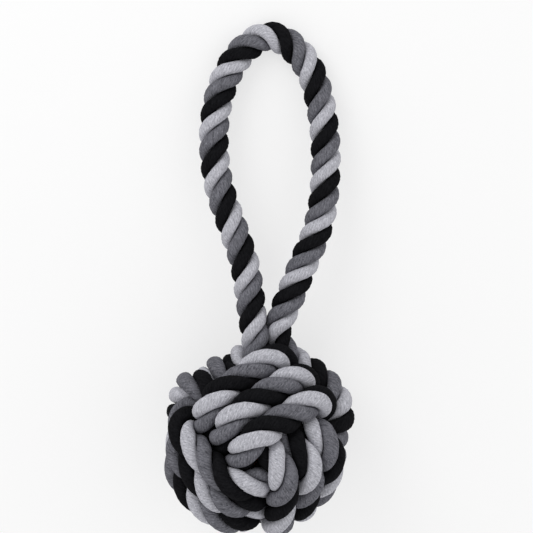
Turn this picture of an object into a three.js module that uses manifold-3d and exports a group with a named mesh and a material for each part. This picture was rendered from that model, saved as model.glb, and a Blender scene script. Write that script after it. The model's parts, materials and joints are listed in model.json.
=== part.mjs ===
// Rope dog toy: one laid cotton rope tied as a ball knot of three crossing sets of wraps round a core,
// with the middle of the rope left out as a hand loop.
// Millimetres. The toy lies on the ground as it does when it is dropped: the knot rests on its underside
// and the far end of the hand loop touches the ground. +Y runs from the knot to the loop, +Z is up.
// Each stretch of rope is an oval tube along its true route; the three laid strands are left out.
import * as THREE from 'three';
import { mergeVertices } from 'three/addons/utils/BufferGeometryUtils.js';
import Module from 'manifold-3d';

const wasm = await Module();
wasm.setup();

// Rope
const ropeDiameter = 16;
const ropeClearance = 0.4;
const endGap = 0.35;

// Ball knot: three sets of wraps at right angles, each passing over one set and under the other
const wrapsPerSet = 3;
const innerReach = 29.3;
const wrapThickness = 11.6;
const crownRise = 5.6;
const crownSwell = 0.6;
const swellPower = 4;
const outerReach = innerReach + wrapThickness + crownRise;
const outerPitch = 17.8;
const innerPitch = 14.2;
const wrapSideGap = 1;
const outerRoundShare = 0.8;
const innerRoundShare = 0.07;
const cornerPower = 5.3;
const pitchPower = 1.9;
const middleBulgeShare = 0.03;
const sideBulgeShare = 0.07;
const laneShiftShare = 0.13;
const wrapEndShare = 0.5;
const lateStartShare = 0.75;
const stepsPerWrap = 32;
const selfApartShare = 0.33;
const knotSides = 8;
const outerTurnPullShare = 1.5;
const innerTurnPullShare = 0.9;
const innerTurnDipShare = 0.075;
const turnSteps = 5;
const tailSteps = 3;
const tailReachShare = 1.05;

// How the knot sits under the loop, seen from the front of the toy
const knotTurn = THREE.MathUtils.degToRad(-8);
const holeDip = THREE.MathUtils.degToRad(14.5);

// Behind its front the ball stands out in a few directions, seen from the front and counted from the right
const frontDepth = 26;
const fadeDepth = 22;
const lobeCore = 28;
const lobes = [
  { angle: THREE.MathUtils.degToRad(43), spread: THREE.MathUtils.degToRad(22), riseShare: 0.22 },
  { angle: THREE.MathUtils.degToRad(146), spread: THREE.MathUtils.degToRad(24), riseShare: 0.14 },
  { angle: THREE.MathUtils.degToRad(220), spread: THREE.MathUtils.degToRad(24), riseShare: 0.09 },
  { angle: THREE.MathUtils.degToRad(335), spread: THREE.MathUtils.degToRad(18), riseShare: 0.03 },
];

// Core
const coreGap = 0.15;
const coreSides = 24;

// Hand loop: its points are shares of its width and length, on the middle line of the rope
const loopWidth = 68;
const loopLength = 179;
const loopSide = 7.6;
const neckRise = 20.5;
const neckReach = outerReach + neckRise;
const loopShares = [
  [-0.164, 0.076], [-0.191, 0.156], [-0.227, 0.236], [-0.298, 0.316], [-0.373, 0.395], [-0.444, 0.475],
  [-0.484, 0.555], [-0.498, 0.635], [-0.489, 0.714], [-0.449, 0.794], [-0.369, 0.874], [-0.230, 0.950],
  [-0.010, 1.000], [0.218, 0.955], [0.373, 0.874], [0.437, 0.794], [0.476, 0.714], [0.498, 0.635],
  [0.500, 0.555], [0.490, 0.475], [0.462, 0.395], [0.404, 0.316], [0.311, 0.236], [0.227, 0.156],
  [0.148, 0.076],
];
const loopSteps = 64;
const loopSides = 12;

// Neck, where the loop bends against the knot
const neckShift = -2.1;
const legPullShare = 0.6;
const legSteps = 8;
const cupRimShare = 0.6;
const cupGap = 0.35;
const drumSides = 48;

// Flats where the toy lies on the ground
const flatShare = 0.1;
const layPasses = 4;

// Smallest distance between two corners of a solid, and the numbers kept for each corner
const mergeDistance = 0.001;
const vertexNumbers = 3;

// Directions in the toy, seen from the front
const frontAxis = new THREE.Vector3(0, 0, 1);
const sideAxis = new THREE.Vector3(1, 0, 0);
const up = new THREE.Vector3(0, 1, 0);
const knotToToy = knotRotation();

// The knot shows one of its corners, where its three sets meet in a small hole, to the front
function knotRotation() {
  const corner = new THREE.Vector3(1, 1, 1).normalize();
  const faceUp = new THREE.Quaternion().setFromUnitVectors(corner, frontAxis);
  const zSeen = new THREE.Vector3(0, 0, 1).applyQuaternion(faceUp);
  const upright = Math.PI / 2 - Math.atan2(zSeen.y, zSeen.x);
  const turned = new THREE.Quaternion().setFromAxisAngle(frontAxis, upright + knotTurn);
  const dipped = new THREE.Quaternion().setFromAxisAngle(sideAxis, holeDip);
  return dipped.multiply(turned).multiply(faceUp);
}

// How far a wrap lies over the other sets, by angle: 1 where it passes over and 0 where it passes under
function overWeight(angle) {
  const along = Math.cos(angle) ** 2;
  const over = along ** pitchPower;
  const under = (1 - along) ** pitchPower;
  return over / (over + under);
}

function lanePitch(over) {
  return innerPitch + (outerPitch - innerPitch) * over;
}

// Radius of a lane in its own plane: a rounded oval, long where it passes over, short where it passes under
function laneRadius(angle, lane) {
  const sideShare = Math.abs(lane) / (wrapsPerSet / 2);
  const long = Math.sqrt(outerReach ** 2 - outerRoundShare * (lane * outerPitch) ** 2);
  const short = Math.sqrt(innerReach ** 2 - innerRoundShare * (lane * innerPitch) ** 2);
  const longTerm = (Math.abs(Math.cos(angle)) / long) ** cornerPower;
  const shortTerm = (Math.abs(Math.sin(angle)) / short) ** cornerPower;
  const bulge = middleBulgeShare + (sideBulgeShare - middleBulgeShare) * sideShare;
  return (longTerm + shortTerm) ** (-1 / cornerPower) * (1 + bulge * Math.sin(2 * angle) ** 2);
}

function smoothStep(value) {
  const share = Math.min(1, Math.max(0, value));
  return share * share * (3 - 2 * share);
}

// Carries a point of the knot outwards, seen from the front, where the ball stands out
function shaped(point) {
  const flat = Math.hypot(point.x, point.y);
  const angle = Math.atan2(point.y, point.x);
  let rise = 0;
  lobes.forEach((lobe) => {
    const away = THREE.MathUtils.euclideanModulo(angle - lobe.angle + Math.PI, 2 * Math.PI) - Math.PI;
    rise += lobe.riseShare * Math.exp(-((away / lobe.spread) ** 2));
  });
  const behind = smoothStep((frontDepth - point.z) / fadeDepth);
  const grown = 1 + (rise * behind * flat ** 2) / (flat ** 2 + lobeCore ** 2);
  return point.clone().multiply(new THREE.Vector3(grown, grown, 1));
}

// One set of wraps: an unbroken path that moves one lane sideways each time it passes its shift place.
// The set lies along one axis, is drawn in along the next and steps sideways along the third
function wrapPath({ longAxis, shiftAngle, direction, firstLane, startShare }) {
  const points = [];
  const first = laneShiftShare * startShare;
  const last = wrapsPerSet - laneShiftShare * wrapEndShare;
  const steps = Math.round((last - first) * stepsPerWrap);
  for (let step = 0; step <= steps; step += 1) {
    const turn = first + ((last - first) * step) / steps;
    const angle = shiftAngle + direction * 2 * Math.PI * turn;
    let lane = firstLane;
    for (let shift = 1; shift < wrapsPerSet; shift += 1) {
      lane -= Math.sign(firstLane) * smoothStep((turn - shift) / laneShiftShare + 1 / 2);
    }
    const radius = laneRadius(angle, lane);
    const over = overWeight(angle);
    const point = new THREE.Vector3();
    point.setComponent(longAxis, radius * Math.cos(angle));
    point.setComponent((longAxis + 1) % 3, radius * Math.sin(angle));
    point.setComponent((longAxis + 2) % 3, lane * lanePitch(over));
    points.push({ point: shaped(point.applyQuaternion(knotToToy)), over });
  }
  return points;
}

// Points between two ends of a curve that leaves and arrives along the two pulls
function hermite(start, startPull, end, endPull, steps) {
  const points = [];
  for (let step = 1; step < steps; step += 1) {
    const t = step / steps;
    const t2 = t * t;
    const t3 = t2 * t;
    const point = new THREE.Vector3();
    point.addScaledVector(start, 2 * t3 - 3 * t2 + 1);
    point.addScaledVector(startPull, t3 - 2 * t2 + t);
    point.addScaledVector(end, 3 * t2 - 2 * t3);
    point.addScaledVector(endPull, t3 - t2);
    points.push(point);
  }
  return points;
}

// Direction in which the rope runs at one of its stations
function heading(route, index) {
  const before = route[Math.max(0, index - 1)].point;
  const after = route[Math.min(route.length - 1, index + 1)].point;
  return after.clone().sub(before).normalize();
}

function cornerDirection(x, y, z) {
  return new THREE.Vector3(x, y, z).normalize().applyQuaternion(knotToToy);
}

// The rope turns over a corner of the knot from the last wrap of one set to the first wrap of the next
function cornerTurn(route, next, pullShare, dipShare) {
  const start = route[route.length - 1];
  const end = next[0];
  const chord = start.point.distanceTo(end.point);
  const startPull = heading(route, route.length - 1).multiplyScalar(chord * pullShare);
  const endPull = heading(next, 0).multiplyScalar(chord * pullShare);
  const inner = hermite(start.point, startPull, end.point, endPull, turnSteps);
  inner.forEach((point, index) => {
    const share = (index + 1) / turnSteps;
    point.multiplyScalar(1 - dipShare * Math.sin(Math.PI * share));
    route.push({ point, over: start.over + (end.over - start.over) * share });
  });
  const along = heading(next, 0);
  route.push({ point: end.point.clone().addScaledVector(along, -endGap), over: end.over, along });
}

const sideLane = (wrapsPerSet - 1) / 2;
const backToLeft = -Math.PI / 4;
const farCorner = (-3 * Math.PI) / 4;
const firstRoute = wrapPath({
  longAxis: 1, shiftAngle: backToLeft, direction: -1, firstLane: sideLane, startShare: wrapEndShare,
});
const secondRoute = wrapPath({
  longAxis: 2, shiftAngle: farCorner, direction: -1, firstLane: sideLane, startShare: wrapEndShare,
});
const thirdRoute = wrapPath({
  longAxis: 0, shiftAngle: farCorner, direction: 1, firstLane: -sideLane, startShare: lateStartShare,
});
tuckTail(firstRoute, cornerDirection(1, 1, -1));
cornerTurn(firstRoute, secondRoute, outerTurnPullShare, 0);
cornerTurn(secondRoute, thirdRoute, innerTurnPullShare, innerTurnDipShare);

// The first wrap starts from the rope's own end, tucked into the hollow under a corner of the knot
function tuckTail(route, corner) {
  const start = route[0];
  const end = corner.clone().multiplyScalar(innerReach * tailReachShare);
  const chord = start.point.distanceTo(end);
  const startPull = heading(route, 0).multiplyScalar(-chord);
  const endPull = corner.clone().multiplyScalar(-chord);
  const tail = hermite(start.point, startPull, end, endPull, tailSteps);
  tail.push(end);
  tail.forEach((point) => route.unshift({ point, over: start.over }));
}

// Legs of the hand loop where they leave the knot
const legMiddle = loopSide + neckShift;
const legSpacing = ropeDiameter + ropeClearance;
const neckLeft = new THREE.Vector3(legMiddle - legSpacing / 2, neckReach, 0);
const neckRight = new THREE.Vector3(legMiddle + legSpacing / 2, neckReach, 0);
const leavingRoute = leavingLeg();
const standingRoute = standingLeg();
const loopRoute = handLoop();

// The leaving leg carries on from the last wrap and turns up into the loop
function leavingLeg() {
  const last = thirdRoute[thirdRoute.length - 1];
  const along = heading(thirdRoute, thirdRoute.length - 1);
  const chord = last.point.distanceTo(neckRight);
  const startPull = along.clone().multiplyScalar(chord);
  const endPull = up.clone().multiplyScalar(chord * legPullShare);
  const start = last.point.clone().addScaledVector(along, endGap);
  const points = [start, ...hermite(start, startPull, neckRight, endPull, legSteps), neckRight.clone()];
  return points.map((point, index) => {
    const round = index / (points.length - 1);
    return { point, round, over: last.over };
  });
}

// The standing leg runs straight down on to the wraps under it
function standingLeg() {
  const start = neckLeft.clone().setY(outerReach);
  const points = [start];
  for (let step = 1; step <= legSteps; step += 1) {
    points.push(start.clone().lerp(neckLeft, step / legSteps));
  }
  return points.map((point) => ({ point, round: 1, over: 1 }));
}

// The hand loop, from the standing leg over its far end to the leaving leg
function handLoop() {
  const drop = new THREE.Vector3(0, ropeDiameter / 2, 0);
  const points = [neckLeft.clone().sub(drop), neckLeft.clone()];
  loopShares.forEach(([side, reach]) => {
    points.push(new THREE.Vector3(loopSide + side * loopWidth, neckReach + reach * loopLength, 0));
  });
  points.push(neckRight.clone(), neckRight.clone().sub(drop));
  const curve = new THREE.CatmullRomCurve3(points, false, 'centripetal');
  return curve.getSpacedPoints(loopSteps).map((point) => ({ point, round: 1, over: 1 }));
}

// Half width and half thickness of the rope: an oval in the knot, squeezed most where it passes under,
// and round in the hand loop
function halfSizes(station) {
  const round = station.round ?? 0;
  const wide = (lanePitch(station.over) - wrapSideGap) / 2;
  const thick = wrapThickness / 2 + crownSwell * station.over ** swellPower;
  return {
    wide: wide + (ropeDiameter / 2 - wide) * round,
    thick: thick + (ropeDiameter / 2 - thick) * round,
  };
}

// The oval's short side points away from the middle of the knot; where the rope itself runs outwards,
// the direction is carried on from the station before
function dressRoute(route, firstOutward) {
  let outward = firstOutward.clone();
  return route.map((station, index) => {
    const along = station.along ?? heading(route, index);
    const radial = station.point.clone().normalize();
    radial.addScaledVector(along, -radial.dot(along));
    const acrossShare = radial.lengthSq();
    outward.addScaledVector(along, -outward.dot(along)).normalize();
    outward = outward.multiplyScalar((1 - acrossShare) ** 2).addScaledVector(radial, acrossShare);
    outward.normalize();
    const side = outward.clone().cross(along);
    return { ...station, along, outward: outward.clone(), side, ...halfSizes(station) };
  });
}

// Corners of the oval at one station
function ringPoints(station, sides, growth) {
  const points = [];
  for (let corner = 0; corner < sides; corner += 1) {
    const angle = (2 * Math.PI * (corner + 1 / 2)) / sides;
    const point = station.point.clone();
    point.addScaledVector(station.side, (station.wide + growth) * Math.cos(angle));
    point.addScaledVector(station.outward, (station.thick + growth) * Math.sin(angle));
    points.push(point);
  }
  return points;
}

// A closed tube of ovals along a dressed route
function ropeTube(stations, sides, growth) {
  const corners = stations.flatMap((station) => ringPoints(station, sides, growth));
  const vertices = corners.flatMap((point) => point.toArray());
  const faces = [];
  for (let ring = 1; ring < stations.length; ring += 1) {
    for (let corner = 0; corner < sides; corner += 1) {
      const next = (corner + 1) % sides;
      const a = (ring - 1) * sides + corner;
      const b = (ring - 1) * sides + next;
      const c = ring * sides + next;
      const d = ring * sides + corner;
      faces.push(a, b, c, a, c, d);
    }
  }
  const lastRing = (stations.length - 1) * sides;
  for (let corner = 1; corner < sides - 1; corner += 1) {
    faces.push(0, corner + 1, corner);
    faces.push(lastRing, lastRing + corner, lastRing + corner + 1);
  }
  const geometry = new THREE.BufferGeometry();
  geometry.setAttribute('position', new THREE.Float32BufferAttribute(vertices, vertexNumbers));
  geometry.setIndex(faces);
  return geometry;
}

// The rope is one length, so its stations are numbered from its tucked end through the knot, up the
// leaving leg, round the loop and down the standing leg
const dressed = {
  first_wraps: dressRoute(firstRoute, up),
  second_wraps: dressRoute(secondRoute, up),
  third_wraps: dressRoute(thirdRoute, up),
  leaving_leg: dressRoute(leavingRoute, frontAxis),
  hand_loop: dressRoute(loopRoute, frontAxis),
  standing_leg: dressRoute(standingRoute, frontAxis),
};

// How far an oval reaches from its middle in one direction
function reachToward(station, direction) {
  const sideways = station.wide * direction.dot(station.side);
  const outwards = station.thick * direction.dot(station.outward);
  return Math.hypot(sideways, outwards);
}

// Least gap between two ovals that lie more than a set share of a wrap apart along the rope
function leastGap(stations) {
  let least = Infinity;
  const apart = Math.round(stepsPerWrap * selfApartShare);
  stations.forEach((one, index) => {
    stations.slice(index + apart).forEach((other) => {
      const span = other.point.clone().sub(one.point);
      const distance = span.length();
      span.normalize();
      least = Math.min(least, distance - reachToward(one, span) - reachToward(other, span));
    });
  });
  return least;
}

const wrapNames = ['first_wraps', 'second_wraps', 'third_wraps'];
const wound = wrapNames.flatMap((name) => dressed[name]);
console.log(`least gap of the wound rope to itself: ${leastGap(wound).toFixed(2)} mm`);

// Lying pose: the knot stands on its flat and the far end of the loop on its own
function layDown() {
  const knotPoints = wound.flatMap((station) => ringPoints(station, knotSides, 0));
  const farReach = neckReach + loopLength;
  const flatDepth = flatShare * ropeDiameter;
  const loopRest = ropeDiameter / 2 - flatDepth;
  let tilt = 0;
  let rest = outerReach;
  for (let pass = 0; pass < layPasses; pass += 1) {
    tilt = Math.asin((rest - loopRest) / farReach);
    const heights = knotPoints.map((point) => point.z * Math.cos(tilt) - point.y * Math.sin(tilt));
    const lowest = Math.min(...heights);
    rest = -lowest - flatDepth;
  }
  return { tilt, rest };
}

const lying = layDown();
const lyingTurn = new THREE.Matrix4().makeRotationX(-lying.tilt);
lyingTurn.setPosition(0, 0, lying.rest);

function solidOf(geometry) {
  const bare = geometry.clone().applyMatrix4(lyingTurn);
  bare.deleteAttribute('normal');
  bare.deleteAttribute('uv');
  const merged = mergeVertices(bare, mergeDistance);
  const vertProperties = merged.attributes.position.array;
  const triVerts = new Uint32Array(merged.index.array);
  const mesh = new wasm.Mesh({ numProp: vertexNumbers, vertProperties, triVerts });
  return new wasm.Manifold(mesh);
}

function geometryOf(solid) {
  const mesh = solid.getMesh();
  const geometry = new THREE.BufferGeometry();
  const positions = Float32Array.from(mesh.vertProperties);
  geometry.setAttribute('position', new THREE.BufferAttribute(positions, vertexNumbers));
  geometry.setIndex(new THREE.BufferAttribute(Uint32Array.from(mesh.triVerts), 1));
  return geometry;
}

// Ground under the lying toy
const roomy = loopLength + neckReach + loopWidth;
const groundBox = new THREE.BoxGeometry(2 * roomy, 2 * roomy, roomy);
groundBox.applyMatrix4(new THREE.Matrix4().makeTranslation(0, 0, -roomy / 2));
groundBox.applyMatrix4(lyingTurn.clone().invert());
const ground = solidOf(groundBox);

// Round bar across the toy at the neck: the loop's ends are rounded to it and the legs are cupped by it
function neckDrum(radius) {
  const drum = new THREE.CylinderGeometry(radius, radius, 2 * loopWidth, drumSides);
  drum.rotateZ(Math.PI / 2);
  drum.translate(legMiddle, neckReach, 0);
  return solidOf(drum);
}

// Everything between two heights along the toy
function slabFrom(low, high) {
  const slab = new THREE.BoxGeometry(2 * roomy, high - low, 2 * roomy);
  slab.translate(0, (low + high) / 2, 0);
  return solidOf(slab);
}

function wrapSolid(name, growth) {
  return solidOf(ropeTube(dressed[name], knotSides, growth));
}

// A leg ends in a cup under the rounded end of the loop, and rests on the wraps it runs into
function legSolid(name) {
  const rim = neckReach - (cupRimShare * ropeDiameter) / 2;
  let leg = solidOf(ropeTube(dressed[name], loopSides, 0));
  leg = leg.subtract(neckDrum(ropeDiameter / 2 + cupGap));
  leg = leg.subtract(slabFrom(rim, roomy));
  wrapNames.forEach((wrap) => {
    leg = leg.subtract(wrapSolid(wrap, endGap));
  });
  return leg;
}

function loopSolid() {
  const loop = solidOf(ropeTube(dressed.hand_loop, loopSides, 0));
  const underNeck = slabFrom(0, neckReach).subtract(neckDrum(ropeDiameter / 2));
  return loop.subtract(underNeck).subtract(ground);
}

// The core fills the room inside the middle wrap of each set
function coreSolid() {
  const radius = innerReach - wrapThickness / 2 - coreGap;
  return solidOf(new THREE.SphereGeometry(radius, coreSides, coreSides / 2));
}

const solids = {
  core_ball: coreSolid(),
  first_wraps: wrapSolid('first_wraps', 0).subtract(ground),
  second_wraps: wrapSolid('second_wraps', 0).subtract(ground),
  third_wraps: wrapSolid('third_wraps', 0).subtract(ground),
  leaving_leg: legSolid('leaving_leg'),
  standing_leg: legSolid('standing_leg'),
  hand_loop: loopSolid(),
};

// One colour for each stretch, taken from the rope's three strands
const finishes = {
  core_ball: { color: 0x8a3b2e, roughness: 0.7 },
  first_wraps: { color: 0x9b9b9f, roughness: 0.95 },
  second_wraps: { color: 0x1b1c1f, roughness: 0.95 },
  third_wraps: { color: 0x5b5c60, roughness: 0.95 },
  leaving_leg: { color: 0x5b5c60, roughness: 0.95 },
  standing_leg: { color: 0x5b5c60, roughness: 0.95 },
  hand_loop: { color: 0x9b9b9f, roughness: 0.95 },
};

const toy = new THREE.Group();
Object.entries(solids).forEach(([name, solid]) => {
  const material = new THREE.MeshStandardMaterial({ ...finishes[name], metalness: 0 });
  const mesh = new THREE.Mesh(geometryOf(solid), material);
  mesh.name = name;
  toy.add(mesh);
});

// Origin under the middle of the whole toy, on the ground
const box = new THREE.Box3().setFromObject(toy);
const middle = box.getCenter(new THREE.Vector3());
toy.children.forEach((mesh) => mesh.position.set(-middle.x, -middle.y, -box.min.z));

export default toy;
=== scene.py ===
import json
import math
import bpy
import numpy as np
from mathutils import Matrix, Vector

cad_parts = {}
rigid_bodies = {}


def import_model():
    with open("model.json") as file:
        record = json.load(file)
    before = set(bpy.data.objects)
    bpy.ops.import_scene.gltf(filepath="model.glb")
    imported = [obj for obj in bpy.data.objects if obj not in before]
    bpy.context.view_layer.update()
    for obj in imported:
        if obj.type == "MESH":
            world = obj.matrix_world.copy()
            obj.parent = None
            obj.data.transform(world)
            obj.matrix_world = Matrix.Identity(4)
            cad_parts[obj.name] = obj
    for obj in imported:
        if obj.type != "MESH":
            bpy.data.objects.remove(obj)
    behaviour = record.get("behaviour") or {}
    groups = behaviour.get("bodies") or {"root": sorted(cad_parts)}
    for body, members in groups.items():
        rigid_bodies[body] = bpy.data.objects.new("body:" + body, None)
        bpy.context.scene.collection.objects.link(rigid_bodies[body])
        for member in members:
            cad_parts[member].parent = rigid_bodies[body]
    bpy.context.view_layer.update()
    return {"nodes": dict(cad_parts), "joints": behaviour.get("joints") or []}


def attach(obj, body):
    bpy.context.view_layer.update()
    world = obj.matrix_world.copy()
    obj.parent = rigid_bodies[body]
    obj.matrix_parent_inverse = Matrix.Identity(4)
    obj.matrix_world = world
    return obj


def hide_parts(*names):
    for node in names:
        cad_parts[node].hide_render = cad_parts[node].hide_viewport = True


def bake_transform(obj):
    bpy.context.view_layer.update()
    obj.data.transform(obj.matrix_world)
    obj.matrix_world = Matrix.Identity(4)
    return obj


# Rope dog toy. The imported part's frame gives the place of everything. The rope's route is repeated here from
# the same sizes and carries three laid strands that press against each other. Lengths are in millimetres,
# lobe angles in degrees, and a share is a part of the size that it goes with.
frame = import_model()
mm = 0.001
tiny = 1e-6
joint = frame["joints"][0]
knotBody, loopBody = joint["parent"], joint["child"]

rope = {"diameter": 16, "clearance": 0.4}
knot = {
    "wraps": 3, "innerReach": 29.3, "thickness": 11.6, "crownRise": 5.6,
    "outerPitch": 17.8, "innerPitch": 14.2, "sideGap": 1,
    "outerRoundShare": 0.8, "innerRoundShare": 0.07, "cornerPower": 5.3, "pitchPower": 1.9,
    "middleBulgeShare": 0.03, "sideBulgeShare": 0.07, "laneShiftShare": 0.13,
    "endShare": 0.5, "lateStartShare": 0.75,
    "outerTurnPullShare": 1.5, "innerTurnPullShare": 0.9, "innerTurnDipShare": 0.075, "tailReachShare": 1.05,
    "drawnIn": 1.4, "swell": 1.4, "wrapStations": 140,
    "turn": math.radians(-8), "dip": math.radians(14.5),
    "frontDepth": 26, "fadeDepth": 22, "lobeCore": 28,
    "lobes": [
        {"angle": 41, "spread": 21, "riseShare": 0.25},
        {"angle": 8, "spread": 11, "riseShare": -0.05},
        {"angle": 155, "spread": 20, "riseShare": 0.15},
        {"angle": 190, "spread": 14, "riseShare": -0.05},
        {"angle": 224, "spread": 16, "riseShare": 0.13},
        {"angle": 341, "spread": 12, "riseShare": 0.07},
        {"angle": 318, "spread": 13, "riseShare": -0.09},
    ],
    "crown": {"middle": -2, "spread": 17, "from": 34, "fade": 16, "rise": 5, "behind": 6},
}
loop = {
    "width": 68, "length": 179, "side": 7.6, "neckRise": 20.5, "neckShift": -2.1, "legPullShare": 0.6,
    "flatShare": 0.1, "legStations": 24, "bendReach": 12,
    "foot": {
        "shares": (1, 0.62, 1), "shift": (3, 0, -3), "startPull": (0, -20, 0), "endPull": (0, -16, -10),
    },
    "shares": [
        (-0.164, 0.076), (-0.191, 0.156), (-0.227, 0.236), (-0.298, 0.316), (-0.373, 0.395), (-0.444, 0.475),
        (-0.484, 0.555), (-0.498, 0.635), (-0.489, 0.714), (-0.449, 0.794), (-0.369, 0.874), (-0.230, 0.950),
        (-0.010, 1.000), (0.218, 0.955), (0.373, 0.874), (0.437, 0.794), (0.476, 0.714), (0.498, 0.635),
        (0.500, 0.555), (0.490, 0.475), (0.462, 0.395), (0.404, 0.316), (0.311, 0.236), (0.227, 0.156),
        (0.148, 0.076),
    ],
}
outerReach = knot["innerReach"] + knot["thickness"] + knot["crownRise"]
neckReach = outerReach + loop["neckRise"]
neck = np.array([loop["side"] + loop["neckShift"], neckReach, 0.0])

# The toy's own frame has the ball's centre at its origin, +Y to the loop and +Z to the viewer. It lies
# tilted, so that the loop's far end touches the ground:
# sin(tilt) = (neck height - far end's height) / loop length
hingePlace = np.array(joint["pos_m"])
farHeight = rope["diameter"] * (0.5 - loop["flatShare"])
tilt = math.asin((hingePlace[2] / mm - farHeight) / loop["length"])
toyTurn = np.array([
    [1, 0, 0],
    [0, math.cos(tilt), math.sin(tilt)],
    [0, -math.sin(tilt), math.cos(tilt)],
])


# From the toy's own frame, in millimetres, to the part's
def toPart(points):
    return (np.asarray(points) - neck) @ toyTurn.T * mm + hingePlace


cameraLook = {
    "centre": (5.7, 105.6, 0), "width": 322.5, "distance": 1500, "sensor": 36,
    "clipStart": 10 * mm, "clipEnd": 20000 * mm,
}


# Square to the loop's plane, as the photograph was taken
def makeCamera():
    data = bpy.data.cameras.new("camera")
    data.sensor_width = cameraLook["sensor"]
    data.lens = cameraLook["sensor"] * cameraLook["distance"] / cameraLook["width"]
    data.clip_start = cameraLook["clipStart"]
    data.clip_end = cameraLook["clipEnd"]
    camera = bpy.data.objects.new("camera", data)
    bpy.context.scene.collection.objects.link(camera)
    place = toPart([np.array(cameraLook["centre"]) + [0, 0, cameraLook["distance"]]])[0]
    camera.matrix_world = Matrix.Translation(Vector(place)) @ Matrix(toyTurn.tolist()).to_4x4()
    bpy.context.scene.camera = camera


makeCamera()


def axisTurn(axis, angle):
    return np.array(Matrix.Rotation(angle, 3, axis))


# The knot's axes in the toy's frame: the corner between them faces the viewer, turned and dipped a little
def knotRotation():
    corner = Vector((1, 1, 1)).normalized()
    faceUp = np.array(corner.rotation_difference(Vector((0, 0, 1))).to_matrix())
    seen = faceUp @ [0, 0, 1]
    upright = math.pi / 2 - math.atan2(seen[1], seen[0])
    return axisTurn("X", knot["dip"]) @ axisTurn("Z", upright + knot["turn"]) @ faceUp


knotToToy = knotRotation()


# 1 where a wrap passes over one of the other sets, 0 where it passes under the other one
def overWeight(angle):
    along = np.cos(angle) ** 2
    over = along ** knot["pitchPower"]
    under = (1 - along) ** knot["pitchPower"]
    return over / (over + under)


def lanePitch(angle):
    return knot["innerPitch"] + (knot["outerPitch"] - knot["innerPitch"]) * overWeight(angle)


# A lane is a rounded rectangle, long where it passes over a set and short where it passes under one, and a
# little fuller at its corners:
# radius = ((|cos a| / long)^p + (|sin a| / short)^p)^(-1/p) * (1 + bulge sin(2a)^2)
def laneRadius(angle, lane):
    side = np.abs(lane) / (knot["wraps"] / 2)
    crown = outerReach - knot["drawnIn"]
    long = np.sqrt(crown**2 - knot["outerRoundShare"] * (lane * knot["outerPitch"]) ** 2)
    short = np.sqrt(knot["innerReach"] ** 2 - knot["innerRoundShare"] * (lane * knot["innerPitch"]) ** 2)
    power = knot["cornerPower"]
    base = (np.abs(np.cos(angle)) / long) ** power + (np.abs(np.sin(angle)) / short) ** power
    bulge = knot["middleBulgeShare"] + (knot["sideBulgeShare"] - knot["middleBulgeShare"]) * side
    return base ** (-1 / power) * (1 + bulge * np.sin(2 * angle) ** 2)


def smoothStep(value):
    share = np.clip(value, 0, 1)
    return share * share * (3 - 2 * share)


# The ball isn't round: behind its front it stands out in some directions and is drawn in in others, as seen
# from the front, and its top is pulled up round the legs
def shaped(points):
    flat = np.hypot(points[:, 0], points[:, 1])
    angle = np.arctan2(points[:, 1], points[:, 0])
    rise = np.zeros(len(points))
    for lobe in knot["lobes"]:
        away = (angle - math.radians(lobe["angle"]) + math.pi) % (2 * math.pi) - math.pi
        rise += lobe["riseShare"] * np.exp(-(away / math.radians(lobe["spread"])) ** 2)
    behind = smoothStep((knot["frontDepth"] - points[:, 2]) / knot["fadeDepth"])
    grown = 1 + rise * behind * flat**2 / (flat**2 + knot["lobeCore"] ** 2)
    points = points * np.column_stack([grown, grown, np.ones(len(points))])
    crown = knot["crown"]
    near = np.exp(-((points[:, 0] - crown["middle"]) / crown["spread"]) ** 2)
    near *= smoothStep((points[:, 2] + crown["behind"]) / crown["fade"])
    points[:, 1] += crown["rise"] * near * smoothStep((points[:, 1] - crown["from"]) / crown["fade"])
    return points


# One set of wraps. Its stations are rows of x, y, z, half width, half thickness
def wrapPath(longAxis, shiftAngle, direction, firstLane, startShare):
    first = knot["laneShiftShare"] * startShare
    last = knot["wraps"] - knot["laneShiftShare"] * knot["endShare"]
    turn = np.linspace(first, last, round((last - first) * knot["wrapStations"]))
    angle = shiftAngle + direction * 2 * math.pi * turn
    lane = np.full_like(turn, firstLane)
    for shift in range(1, knot["wraps"]):
        lane -= np.sign(firstLane) * smoothStep((turn - shift) / knot["laneShiftShare"] + 0.5)
    radius = laneRadius(angle, lane)
    points = np.zeros((len(turn), 3))
    points[:, longAxis] = radius * np.cos(angle)
    points[:, (longAxis + 1) % 3] = radius * np.sin(angle)
    points[:, (longAxis + 2) % 3] = lane * lanePitch(angle)
    wide = (lanePitch(angle) - knot["sideGap"]) / 2
    thick = knot["thickness"] / 2 + knot["swell"] * overWeight(angle)
    return np.column_stack([shaped(points @ knotToToy.T), wide, thick])


def unit(vector):
    return vector / np.linalg.norm(vector, axis=-1, keepdims=True)


# Cubic from start to end that leaves and arrives along the two pulls, without its own ends
def hermite(start, startPull, end, endPull, count):
    t = np.linspace(0, 1, count + 1)[1:-1, None]
    return (
        start * (2 * t**3 - 3 * t**2 + 1) + startPull * (t**3 - 2 * t**2 + t)
        + end * (3 * t**2 - 2 * t**3) + endPull * (t**3 - t**2)
    )


# Half widths and half thicknesses that change evenly along a stretch
def withSizes(points, startSizes, endSizes):
    share = np.linspace(0, 1, len(points))[:, None]
    return np.column_stack([points, startSizes + (np.array(endSizes) - startSizes) * share])


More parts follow.
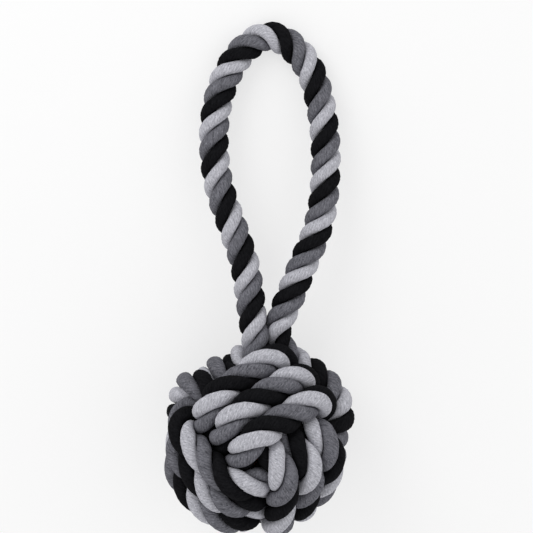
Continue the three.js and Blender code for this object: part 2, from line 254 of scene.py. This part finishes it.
# The turn round a corner of the knot, from the end of one set of wraps to the start of the next
def cornerTurn(before, after, pullShare, dipShare, count=24):
    start, end = before[-1], after[0]
    chord = np.linalg.norm(end[:3] - start[:3])
    startPull = unit(before[-1, :3] - before[-2, :3]) * chord * pullShare
    endPull = unit(after[1, :3] - after[0, :3]) * chord * pullShare
    points = hermite(start[:3], startPull, end[:3], endPull, count)
    share = np.linspace(0, 1, len(points))[:, None]
    points = points * (1 - dipShare * np.sin(math.pi * share))
    return withSizes(points, start[3:], end[3:])


# The rope's own end, from inside the knot to the start of the first wrap
def tuckedTail(route, corner, count=14):
    start = route[0]
    end = unit(np.array(corner)) @ knotToToy.T * knot["innerReach"] * knot["tailReachShare"]
    chord = np.linalg.norm(end - start[:3])
    startPull = unit(route[0, :3] - route[1, :3]) * chord
    endPull = -unit(end) * chord
    points = np.vstack([hermite(start[:3], startPull, end, endPull, count), end])
    return withSizes(points[::-1], start[3:], start[3:])


def distanceAlong(points, power=1):
    steps = np.linalg.norm(np.diff(points, axis=0), axis=1)
    return np.concatenate([[0], np.cumsum(steps**power)])


# Centripetal Catmull-Rom curve through the points: knots are spaced by the square root of the distance
def curveThrough(points, perSpan=24):
    points = np.array(points, float)
    points = np.vstack([2 * points[0] - points[1], points, 2 * points[-1] - points[-2]])
    at = distanceAlong(points, 0.5)
    spans = []
    for i in range(1, len(points) - 2):
        t = np.linspace(at[i], at[i + 1], perSpan, endpoint=False)[:, None]

        def between(low, high, a, b):
            return (a * (at[high] - t) + b * (t - at[low])) / (at[high] - at[low])

        first = between(i - 1, i, points[i - 1], points[i])
        second = between(i, i + 1, points[i], points[i + 1])
        third = between(i + 1, i + 2, points[i + 1], points[i + 2])
        left = between(i - 1, i + 1, first, second)
        right = between(i, i + 2, second, third)
        spans.append(between(i, i + 1, left, right))
    return np.vstack(spans + [points[-2:-1]])


# The tops of the left and the right leg, and the loop from one to the other
def handLoop():
    spacing = rope["diameter"] + rope["clearance"]
    left, right = neck - [spacing / 2, 0, 0], neck + [spacing / 2, 0, 0]
    drop = np.array([0, rope["diameter"] / 2, 0])
    places = [left - drop, left]
    for side, reach in loop["shares"]:
        places.append([loop["side"] + side * loop["width"], neckReach + reach * loop["length"], 0])
    places += [right, right - drop]
    line = curveThrough(places)
    inside = line[:, 1] >= neckReach
    first, last = np.flatnonzero(inside)[[0, -1]]
    return left, right, line[first:last + 1]


pinch = {"above": 20, "fade": 26, "startFade": 25, "right": 3.6, "left": 1.4, "depth": 2.2}


# The knot pinches the two legs together, the left one a little in front
def pinched(points):
    run = distanceAlong(points[:, :3])
    near = smoothStep((neckReach + pinch["above"] - points[:, 1]) / pinch["fade"])
    near = near * smoothStep(run / pinch["startFade"])
    onRight = points[:, 0] > neck[0]
    points = points.copy()
    points[:, 0] += near * np.where(onRight, -pinch["right"], pinch["left"])
    points[:, 2] += near * np.where(onRight, -pinch["depth"], pinch["depth"])
    return points


# The whole rope as one line, from its tucked tail through the knot, round the loop and back into the knot
def wholeRope():
    side = (knot["wraps"] - 1) / 2
    backToLeft, farCorner = -math.pi / 4, -3 * math.pi / 4
    first = wrapPath(1, backToLeft, -1, side, knot["endShare"])
    second = wrapPath(2, farCorner, -1, side, knot["endShare"])
    third = wrapPath(0, farCorner, 1, -side, knot["lateStartShare"])
    first = np.vstack([tuckedTail(first, (1, 1, -1)), first])
    first = np.vstack([first, cornerTurn(first, second, knot["outerTurnPullShare"], 0)])
    second = np.vstack([
        second, cornerTurn(second, third, knot["innerTurnPullShare"], knot["innerTurnDipShare"]),
    ])
    left, right, line = handLoop()
    full = [rope["diameter"] / 2, rope["diameter"] / 2]
    count = loop["legStations"]
    last = third[-1]
    chord = np.linalg.norm(last[:3] - right)
    startPull = unit(third[-1, :3] - third[-2, :3]) * chord
    endPull = np.array([0, chord * loop["legPullShare"], 0])
    leaving = withSizes(hermite(last[:3], startPull, right, endPull, count), last[3:], full)
    bow = withSizes(line[::-1], full, full)
    foot = loop["foot"]
    end = left * foot["shares"] + foot["shift"]
    standing = hermite(left, np.array(foot["startPull"]), end, np.array(foot["endPull"]), count)
    standing = withSizes(standing, full, full)
    return [first, second, third, pinched(np.vstack([leaving, bow, standing]))]


strandLook = {
    "step": 2.0, "centre": 4.2, "turnOver": 4, "least": 7.0, "ownReach": 12,
    "knotFree": 5.9, "loopFree": 4.85, "squeezed": 0.5, "reachMargin": 0.5, "crease": 0.12, "roundPower": 4,
    "sides": 18, "lumps": 0.06, "lumpSeed": 7, "smoothRounds": 2,
    "outPull": 0.6, "nearMiddle": 1.6, "nearFade": 1.0, "loopGirth": 4.7,
}


# Stations at even distances: how far along the rope each lies, its row of place and sizes, and how far along
# each stretch starts and the last one ends
def evenStations():
    stretches = wholeRope()
    joined = np.vstack(stretches)
    run = distanceAlong(joined[:, :3])
    starts = np.cumsum([0] + [len(stretch) for stretch in stretches])
    startLengths = run[np.minimum(starts, len(run) - 1)]
    route = joined[np.concatenate([[True], np.diff(run) > tiny])]
    at = distanceAlong(route[:, :3])
    places = np.linspace(0, at[-1], round(at[-1] / strandLook["step"]) + 1)
    return places, np.column_stack([np.interp(places, at, column) for column in route.T]), startLengths


length, line, startLengths = evenStations()
centre, wide, thick = line[:, :3], line[:, 3], line[:, 4]
cuts = [round(start / length[-1] * (len(length) - 1)) for start in startLengths]
loopStart = startLengths[3]
print("rope", round(length[-1]), "mm, cuts", cuts)


# The rope's cross directions are carried along it and turned outwards wherever it lies round the ball
def crossDirections():
    along = unit(np.gradient(centre, axis=0))
    outward = np.zeros_like(centre)
    carried = np.array([0.0, 1.0, 0.0])
    for i in range(len(centre)):
        radial = unit(centre[i])
        radial = radial - along[i] * (radial @ along[i])
        share = radial @ radial if i < cuts[3] else 0
        carried = unit(carried - along[i] * (carried @ along[i]))
        pull = 1 - math.exp(-strandLook["step"] * share**2 / strandLook["turnOver"])
        carried = unit(carried * (1 - pull) + radial * pull)
        outward[i] = carried
    return outward, np.cross(outward, along)


outward, side = crossDirections()

# Read off the photograph, as places along a rope of ropeLength: where the light strand faces the viewer, and
# where it faces outwards at the ball's edge. The three strands are in the order of strandNames
strandNames = ["light", "dark", "black"]
lay = {
    "knot": 46, "loop": 32.5, "loopFade": 40, "smoothRounds": 12, "ropeLength": 2932,
    "lightInFront": [
        202, 504, 756, 804,
        981, 1026, 1271, 1317, 1549, 1594,
        1761, 1798, 2047, 2086, 2310, 2355,
        2516, 2711, 2906,
    ],
    "lightOutward": [104, 388, 682, 2446, 2483],
    "turns": [0, 4 * math.pi / 3, 2 * math.pi / 3],
    "crossings": [932, 1644], "crossingLength": 44,
    "crossingTurns": [0, -2 * math.pi / 3, 2 * math.pi / 3], "crossingReaches": [0, -0.7, 0.35],
}


# How far the lay has turned at each station: as read at the photograph's places, and evenly in between
def strandPhases():
    front = np.array([0, 0, 1.0])
    facing = np.unwrap(np.arctan2(outward @ front, side @ front))
    scale = length[-1] / lay["ropeLength"]
    inFront, atSide = np.array(lay["lightInFront"]) * scale, np.array(lay["lightOutward"]) * scale
    places = np.concatenate([inFront, atSide])
    targets = np.concatenate([np.interp(inFront, length, facing), np.full(len(atSide), math.pi / 2)])
    order = np.argsort(places)
    places, targets = places[order], targets[order]
    inLoop = smoothStep((places - loopStart) / lay["loopFade"])
    nominal = lay["knot"] + (lay["loop"] - lay["knot"]) * inLoop
    phases = [targets[0]]
    for i in range(1, len(places)):
        wanted = phases[-1] + 2 * math.pi * (places[i] - places[i - 1]) * 2 / (nominal[i] + nominal[i - 1])
        turns = round((wanted - targets[i]) / (2 * math.pi))
        phases.append(targets[i] + 2 * math.pi * turns)
    print("lay between the readings", np.round(np.diff(places) / np.diff(phases) * 2 * math.pi, 1).tolist())
    start = phases[0] - 2 * math.pi * places[0] / lay["knot"]
    end = phases[-1] + 2 * math.pi * (length[-1] - places[-1]) / lay["loop"]
    phase = np.interp(length, [0, *places, length[-1]], [start, *phases, end])
    for _ in range(lay["smoothRounds"]):
        phase[1:-1] = (phase[:-2] + 2 * phase[1:-1] + phase[2:]) / 4
    return phase


phase = strandPhases()


# Round the top band the dark and the black strand lie the other way round: they cross in the hidden stretch
# before it and again in the one after it. 0 before and after, 1 in between
def crossing():
    before, after = [place / lay["ropeLength"] * length[-1] for place in lay["crossings"]]
    into = smoothStep((length - before) / lay["crossingLength"] + 0.5)
    back = smoothStep((length - after) / lay["crossingLength"] + 0.5)
    return into - back


# The strands' middle lines: each goes round the rope's own with the lay. Where two cross, one goes in and
# the other out
def layStrands():
    crossed = crossing()
    half = 4 * crossed * (1 - crossed)
    strands = []
    for turn, shift, change in zip(lay["turns"], lay["crossingTurns"], lay["crossingReaches"]):
        angle = phase + turn + shift * crossed
        reach = strandLook["centre"] / (rope["diameter"] / 2) * (1 + change * half)
        strands.append(
            centre + side * (reach * wide * np.cos(angle))[:, None]
            + outward * (reach * thick * np.sin(angle))[:, None]
        )
    return np.array(strands)


# Pairs of points closer than the reach, leaving out a strand's own neighbours along its length. A group is
# its points, the strand that each belongs to, and each one's place along the rope
def nearPairs(group, others, reach, block=900):
    points, strandOf, place = group
    otherPoints, otherStrandOf, otherPlace = others
    found = []
    for start in range(0, len(points), block):
        part = points[start:start + block]
        square = (part**2).sum(1)[:, None] + (otherPoints**2).sum(1)[None] - 2 * part @ otherPoints.T
        a, b = np.nonzero(square < reach**2)
        a = a + start
        near = np.abs(place[a] - otherPlace[b]) < strandLook["ownReach"]
        own = (strandOf[a] == otherStrandOf[b]) & near
        found.append(np.column_stack([a[~own], b[~own]]))
    return np.vstack(found)


def grouped(strands, places):
    count = len(places)
    return strands.reshape(-1, 3), np.repeat(np.arange(len(strands)), count), np.tile(places, len(strands))


settling = {
    "rounds": 60, "quickRounds": 6, "refresh": 6, "margin": 1.5, "push": 0.16, "smooth": 0.25, "home": 0.02,
}


# Strands that lie too near each other push each other away, while each is held smooth and near its place
def settle(strands, rounds):
    home, index, place = grouped(strands, length)
    points = home.copy()
    for step in range(rounds):
        if step % settling["refresh"] == 0:
            group = (points, index, place)
            pairs = nearPairs(group, group, strandLook["least"] + settling["margin"])
            a, b = pairs[pairs[:, 0] < pairs[:, 1]].T
        span = points[b] - points[a]
        distance = np.linalg.norm(span, axis=1)
        lack = np.clip(strandLook["least"] - distance, 0, None)
        push = lack / np.maximum(distance, tiny) * settling["push"]
        move = np.zeros_like(points)
        for axis in range(3):
            share = span[:, axis] * push
            move[:, axis] = np.bincount(b, share, len(points)) - np.bincount(a, share, len(points))
        points = points + move
        grid = points.reshape(strands.shape)
        bend = np.zeros_like(grid)
        bend[:, 1:-1] = (grid[:, :-2] + grid[:, 2:]) / 2 - grid[:, 1:-1]
        points = (grid + settling["smooth"] * bend).reshape(-1, 3)
        points = points + settling["home"] * (home - points)
    return points.reshape(strands.shape)


strands = layStrands()
strands = settle(strands, settling["rounds"])
print("strands settled")


# Cubic midpoints double the number of points along a strand
def refined(values):
    padded = np.concatenate([2 * values[:1] - values[1:2], values, 2 * values[-1:] - values[-2:-1]])
    middle = (9 * (padded[1:-2] + padded[2:-1]) - padded[:-3] - padded[3:]) / 16
    out = np.empty((2 * len(values) - 1,) + values.shape[1:])
    out[::2] = values
    out[1::2] = middle
    return out


# Directions out of the rope, square to the strand. They are only carried along where the strand lies near
# the rope's middle
def carriedOut(offset, heading):
    distance = np.linalg.norm(offset, axis=1)
    away = smoothStep((distance - strandLook["nearMiddle"]) / strandLook["nearFade"])
    pull = strandLook["outPull"] * away
    wanted = unit(offset - heading * (offset * heading).sum(1)[:, None])
    carried = wanted.copy()
    for i in range(1, len(carried)):
        turned = carried[i - 1] - heading[i] * (carried[i - 1] @ heading[i])
        carried[i] = unit(unit(turned) * (1 - pull[i]) + wanted[i] * pull[i])
    return carried


# Room along each ray: half way to a neighbour at v, measured along the ray e, is |v|^2 / (2 e.v)
def halfWays(group, others, rays):
    far, sideways = 99.0, 1e-3
    pairs = nearPairs(group, others, 2 * strandLook["knotFree"] + strandLook["reachMargin"])
    span = others[0][pairs[:, 1]] - group[0][pairs[:, 0]]
    square = (span**2).sum(1)
    nearest = np.full(rays.shape[:2], far)
    for k in range(rays.shape[1]):
        ahead = (rays[pairs[:, 0], k] * span).sum(1)
        half = np.where(ahead > sideways, square / (2 * np.maximum(ahead, sideways)), far)
        np.minimum.at(nearest[:, k], pairs[:, 0], half - strandLook["crease"])
    return nearest


# A strand fills the room up to half way to each neighbour, and is round where it lies free:
# radius = (free^-p + room^-p)^(-1/p)
def strandSkin(strands):
    fineLength = refined(length)
    fine = np.array([refined(strand) for strand in strands])
    group = grouped(fine, fineLength)
    heading = np.array([unit(np.gradient(strand, axis=0)) for strand in fine])
    middle = fine.mean(0)
    out = np.array([carriedOut(strand - middle, part) for strand, part in zip(fine, heading)]).reshape(-1, 3)
    across = np.cross(heading.reshape(-1, 3), out)
    angle = 2 * math.pi * np.arange(strandLook["sides"]) / strandLook["sides"]
    rays = out[:, None] * np.cos(angle)[None, :, None] + across[:, None] * np.sin(angle)[None, :, None]
    room = halfWays(group, grouped(strands, length), rays)
    power = strandLook["roundPower"]
    inLoop = smoothStep((group[2] - loopStart) / lay["loopFade"])[:, None]
    free = strandLook["knotFree"] + (strandLook["loopFree"] - strandLook["knotFree"]) * inLoop
    radius = (free ** -power + np.maximum(room, strandLook["squeezed"]) ** -power) ** (-1 / power)
    radius = radius.reshape(len(fine), len(fineLength), -1)
    for _ in range(strandLook["smoothRounds"]):
        radius[:, 1:-1] = (radius[:, :-2] + 2 * radius[:, 1:-1] + radius[:, 2:]) / 4
    radius = (np.roll(radius, 1, 2) + 2 * radius + np.roll(radius, -1, 2)) / 4
    radius += np.random.default_rng(strandLook["lumpSeed"]).normal(0, strandLook["lumps"], radius.shape)
    surface = fine[:, :, None] + rays.reshape(radius.shape + (3,)) * radius[..., None]
    return surface, np.array([distanceAlong(strand) for strand in fine]), angle


surface, strandLength, girthAngle = strandSkin(strands)
print("strands skinned", surface.shape)


# A shader socket that takes part in sums
class Shade:
    def __init__(self, tree, socket):
        self.tree = tree
        self.socket = socket

    def math(self, operation, *values, clamp=False):
        inputs = dict(enumerate(values))
        return makeNode(self.tree, "ShaderNodeMath", 0, inputs, operation=operation, use_clamp=clamp)

    def __add__(self, other):
        return self.math("ADD", self, other)

    def __radd__(self, other):
        return self.math("ADD", other, self)

    def __sub__(self, other):
        return self.math("SUBTRACT", self, other)

    def __rsub__(self, other):
        return self.math("SUBTRACT", other, self)

    def __mul__(self, other):
        return self.math("MULTIPLY", self, other)

    def __rmul__(self, other):
        return self.math("MULTIPLY", other, self)

    def sine(self):
        return self.math("SINE", self)

    def clamped(self):
        return self.math("ADD", self, 0.0, clamp=True)


# Any node: its settings first, then the values or links of its sockets
def makeNode(tree, kind, output, inputs=None, **settings):
    node = tree.nodes.new(kind)
    for name, value in settings.items():
        setattr(node, name, value)
    for place, value in (inputs or {}).items():
        if isinstance(value, Shade):
            tree.links.new(value.socket, node.inputs[place])
        else:
            node.inputs[place].default_value = value
    return Shade(tree, node.outputs[output])


def newMaterial(name):
    material = bpy.data.materials.new(name)
    material.use_nodes = True
    tree = material.node_tree
    return material, tree, tree.nodes["Principled BSDF"]


# A value that the mesh holds at each of its points
def attribute(tree, name):
    return makeNode(tree, "ShaderNodeAttribute", "Fac", attribute_name=name)


def mixedColour(tree, factor, low, high):
    inputs = {"Factor": factor, "A": low, "B": high}
    return makeNode(tree, "ShaderNodeMix", "Result", inputs, data_type="RGBA")


# A colour as it is seen on a screen, 0 to 1, as light
def asLight(colour):
    return [v / 12.92 if v <= 0.04045 else ((v + 0.055) / 1.055) ** 2.4 for v in colour] + [1]


cottonLook = {
    "light": {"low": (0.41, 0.41, 0.44), "high": (0.86, 0.86, 0.89), "gloss": 0.1},
    "dark": {"low": (0.13, 0.13, 0.15), "high": (0.52, 0.52, 0.55), "gloss": 0.08},
    "black": {"low": (0.015, 0.015, 0.02), "high": (0.115, 0.115, 0.125), "gloss": 0.04},
}
yarnLook = {
    "slant": math.radians(60), "yarnWidth": 1.15, "roughness": 0.95, "strandShift": 7.3,
    "fibres": {"size": (3.2, 0.45), "shift": 0.0, "detail": 3.0, "roughness": 0.7},
    "patches": {"size": (0.9, 0.2), "shift": 0.0, "detail": 2.0, "roughness": 0.5},
    "lint": {"size": (1.6, 1.1), "shift": 20.0, "detail": 2.0, "roughness": 0.5},
    # the yarn wave's share of the tone is painted shade: darker in the grooves between yarns, lighter on their
    # crowns
    "fibreShare": 1.7, "patchShare": 0.5, "yarnGrooveShadeShare": 0.06, "lintShare": 0.5, "middle": 0.52,
    "lintFrom": 0.63, "lintRise": 14, "bump": 0.3, "bumpDepth": 0.5 * mm, "yarnBump": 0.25, "fibreBump": 0.5,
}


# Cotton: yarns wound round the strand, each of fine fibres in mixed greys. Along and across the yarn are the
# strand's own length and girth, turned by the slant
def cottonMaterial(title, look):
    material, tree, bsdf = newMaterial(title)
    lengthwise, around, seed = attribute(tree, "along"), attribute(tree, "around"), attribute(tree, "strand")
    slant = yarnLook["slant"]
    acrossYarn = lengthwise * math.sin(slant) + around * math.cos(slant)
    alongYarn = lengthwise * math.cos(slant) - around * math.sin(slant)

    def speckled(noise):
        across, lengthways = noise["size"]
        place = makeNode(tree, "ShaderNodeCombineXYZ", 0, {
            0: acrossYarn * across, 1: alongYarn * lengthways, 2: seed + noise["shift"],
        })
        return makeNode(tree, "ShaderNodeTexNoise", 0, {
            "Vector": place, "Scale": 1.0, "Detail": noise["detail"], "Roughness": noise["roughness"],
        })

    yarn = (acrossYarn * (2 * math.pi / yarnLook["yarnWidth"])).sine()
    fibre, patch, speck = [speckled(yarnLook[name]) for name in ("fibres", "patches", "lint")]
    lint = ((speck - yarnLook["lintFrom"]) * yarnLook["lintRise"]).clamped()
    tone = (fibre - 0.5) * yarnLook["fibreShare"] + (patch - 0.5) * yarnLook["patchShare"]
    # painted shade: the yarn wave darkens the tone in the grooves between yarns and lightens it on their
    # crowns
    tone = tone + yarn * yarnLook["yarnGrooveShadeShare"] + lint * yarnLook["lintShare"] + yarnLook["middle"]
    colour = mixedColour(tree, tone.clamped(), asLight(look["low"]), asLight(look["high"]))
    tree.links.new(colour.socket, bsdf.inputs["Base Color"])
    bsdf.inputs["Roughness"].default_value = yarnLook["roughness"]
    bsdf.inputs["Specular IOR Level"].default_value = look["gloss"]
    height = yarn * yarnLook["yarnBump"] + fibre * yarnLook["fibreBump"]
    bump = makeNode(tree, "ShaderNodeBump", 0, {
        "Strength": yarnLook["bump"], "Distance": yarnLook["bumpDepth"], "Height": height,
    })
    tree.links.new(bump.socket, bsdf.inputs["Normal"])
    return material


cotton = {name: cottonMaterial(name + "_cotton", look) for name, look in cottonLook.items()}


# A closed tube for one strand between two of its rings: quads between the rings and a cap at each end
def tubeParts(strand, first, last):
    rows, sides = last - first + 1, surface.shape[2]
    points = toPart(surface[strand, first:last + 1].reshape(-1, 3))
    # the soft rope lies flat where it touches the ground
    points[:, 2] = np.maximum(points[:, 2], 0)
    ring, corner = np.meshgrid(np.arange(rows - 1), np.arange(sides), indexing="ij")
    after = (corner + 1) % sides
    quads = np.stack([
        ring * sides + corner, ring * sides + after, (ring + 1) * sides + after, (ring + 1) * sides + corner,
    ], -1).reshape(-1, 4)
    caps = [list(range(sides - 1, -1, -1)), list(range((rows - 1) * sides, rows * sides))]
    lengthwise = np.repeat(strandLength[strand, first:last + 1], sides)
    around = np.tile((girthAngle + math.pi) % (2 * math.pi) - math.pi, rows) * strandLook["loopGirth"]
    return points, quads.tolist() + caps, lengthwise, around


# One piece of one or more strands between two of their rings, with the values that the cotton needs
def strandMesh(name, strandsUsed, first, last):
    mesh = bpy.data.meshes.new(name)
    points, faces, slotOfFace, lengths, arounds, seeds = [], [], [], [], [], []
    for slot, strand in enumerate(strandsUsed):
        shift = sum(len(part) for part in points)
        tube, tubeFaces, lengthwise, around = tubeParts(strand, first, last)
        points.append(tube)
        faces += [[corner + shift for corner in face] for face in tubeFaces]
        slotOfFace += [slot] * len(tubeFaces)
        lengths.append(lengthwise)
        arounds.append(around)
        seeds.append(np.full(len(tube), strand * yarnLook["strandShift"]))
        mesh.materials.append(cotton[strandNames[strand]])
    mesh.from_pydata(np.vstack(points).tolist(), [], faces)
    mesh.polygons.foreach_set("material_index", np.array(slotOfFace, np.int32))
    mesh.polygons.foreach_set("use_smooth", np.ones(len(faces), bool))
    for key, values in (("along", lengths), ("around", arounds), ("strand", seeds)):
        data = mesh.attributes.new(key, "FLOAT", "POINT")
        data.data.foreach_set("value", np.concatenate(values).astype(np.float32))
    mesh.update()
    piece = bpy.data.objects.new(name, mesh)
    bpy.context.scene.collection.objects.link(piece)
    return piece


# The loop with its two feet, as one piece. A strand has two rings for each station of the rope
loopRope = strandMesh("hand_loop_rope", [0, 1, 2], 2 * cuts[3], surface.shape[1] - 1)
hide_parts("leaving_leg", "hand_loop", "standing_leg")
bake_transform(loopRope)
print("loop made")

# Each set of wraps: three strands that follow the knot
for number, node in enumerate(["first_wraps", "second_wraps", "third_wraps"]):
    for strand, colour in enumerate(strandNames):
        piece = strandMesh(node + "_" + colour + "_strand", [strand], 2 * cuts[number], 2 * cuts[number + 1])
        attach(piece, knotBody)
        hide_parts(node)
print("knot made")


rubberLook = {
    "low": (0.46, 0.19, 0.15), "high": (0.58, 0.27, 0.22), "grain": 300.0, "detail": 4.0, "roughness": 0.7,
}


def rubberMaterial():
    material, tree, bsdf = newMaterial("core_rubber")
    place = makeNode(tree, "ShaderNodeTexCoord", "Object")
    grain = makeNode(tree, "ShaderNodeTexNoise", 0, {
        "Vector": place, "Scale": rubberLook["grain"], "Detail": rubberLook["detail"],
    })
    colour = mixedColour(tree, grain, asLight(rubberLook["low"]), asLight(rubberLook["high"]))
    tree.links.new(colour.socket, bsdf.inputs["Base Color"])
    bsdf.inputs["Roughness"].default_value = rubberLook["roughness"]
    return material


core = frame["nodes"]["core_ball"]
core.data.materials.clear()
core.data.materials.append(rubberMaterial())


stageLook = {
    "floorSide": 12.0, "floorDrop": 0.2 * mm, "paper": 0.93, "paperWhite": 0.6, "sky": 0.8,
    "lampsAim": (0, 60, 0),
    "lamps": {
        "key": {"place": (-500, 700, 900), "size": 0.7, "power": 3.6},
        "fill": {"place": (700, 0, 900), "size": 0.9, "power": 0.8},
    },
}


# Sizes of floor and lamps are in metres, powers in watts, and lamps' places in the toy's own frame.
# The floor is paper that looks whiter to the camera than the light it gives, and keeps the toy's shadow
def makeFloor():
    far, low = stageLook["floorSide"], -stageLook["floorDrop"]
    mesh = bpy.data.meshes.new("floor")
    corners = [(-far, -far, low), (far, -far, low), (far, far, low), (-far, far, low)]
    mesh.from_pydata(corners, [], [(0, 1, 2, 3)])
    floor = bpy.data.objects.new("floor", mesh)
    bpy.context.scene.collection.objects.link(floor)
    material, tree, bsdf = newMaterial("floor_paper")
    paper = stageLook["paper"]
    bsdf.inputs["Base Color"].default_value = (paper, paper, paper, 1)
    bsdf.inputs["Roughness"].default_value = 1
    bsdf.inputs["Specular IOR Level"].default_value = 0
    toCamera = makeNode(tree, "ShaderNodeLightPath", "Is Camera Ray")
    white = makeNode(tree, "ShaderNodeEmission", 0, {"Color": (1, 1, 1, 1), "Strength": 1.0})
    mixed = makeNode(tree, "ShaderNodeMixShader", 0, {
        0: toCamera * stageLook["paperWhite"], 1: Shade(tree, bsdf.outputs[0]), 2: white,
    })
    tree.links.new(mixed.socket, tree.nodes["Material Output"].inputs["Surface"])
    mesh.materials.append(material)


# The sky is white to the camera and gives a little less light
def makeSky():
    world = bpy.data.worlds.new("studio")
    bpy.context.scene.world = world
    world.use_nodes = True
    tree = world.node_tree
    background = tree.nodes["Background"]
    background.inputs["Color"].default_value = (1, 1, 1, 1)
    toCamera = makeNode(tree, "ShaderNodeLightPath", "Is Camera Ray")
    strength = toCamera * (1 - stageLook["sky"]) + stageLook["sky"]
    tree.links.new(strength.socket, background.inputs["Strength"])


def makeLamps():
    for name, look in stageLook["lamps"].items():
        data = bpy.data.lights.new(name, "AREA")
        data.shape = "DISK"
        data.size = look["size"]
        data.energy = look["power"]
        light = bpy.data.objects.new(name, data)
        bpy.context.scene.collection.objects.link(light)
        place = Vector(toPart([look["place"]])[0])
        aim = Vector(toPart([stageLook["lampsAim"]])[0]) - place
        light.matrix_world = Matrix.Translation(place) @ aim.to_track_quat("-Z", "Y").to_matrix().to_4x4()


makeFloor()
makeSky()
makeLamps()
bpy.context.scene.view_settings.view_transform = "Standard"
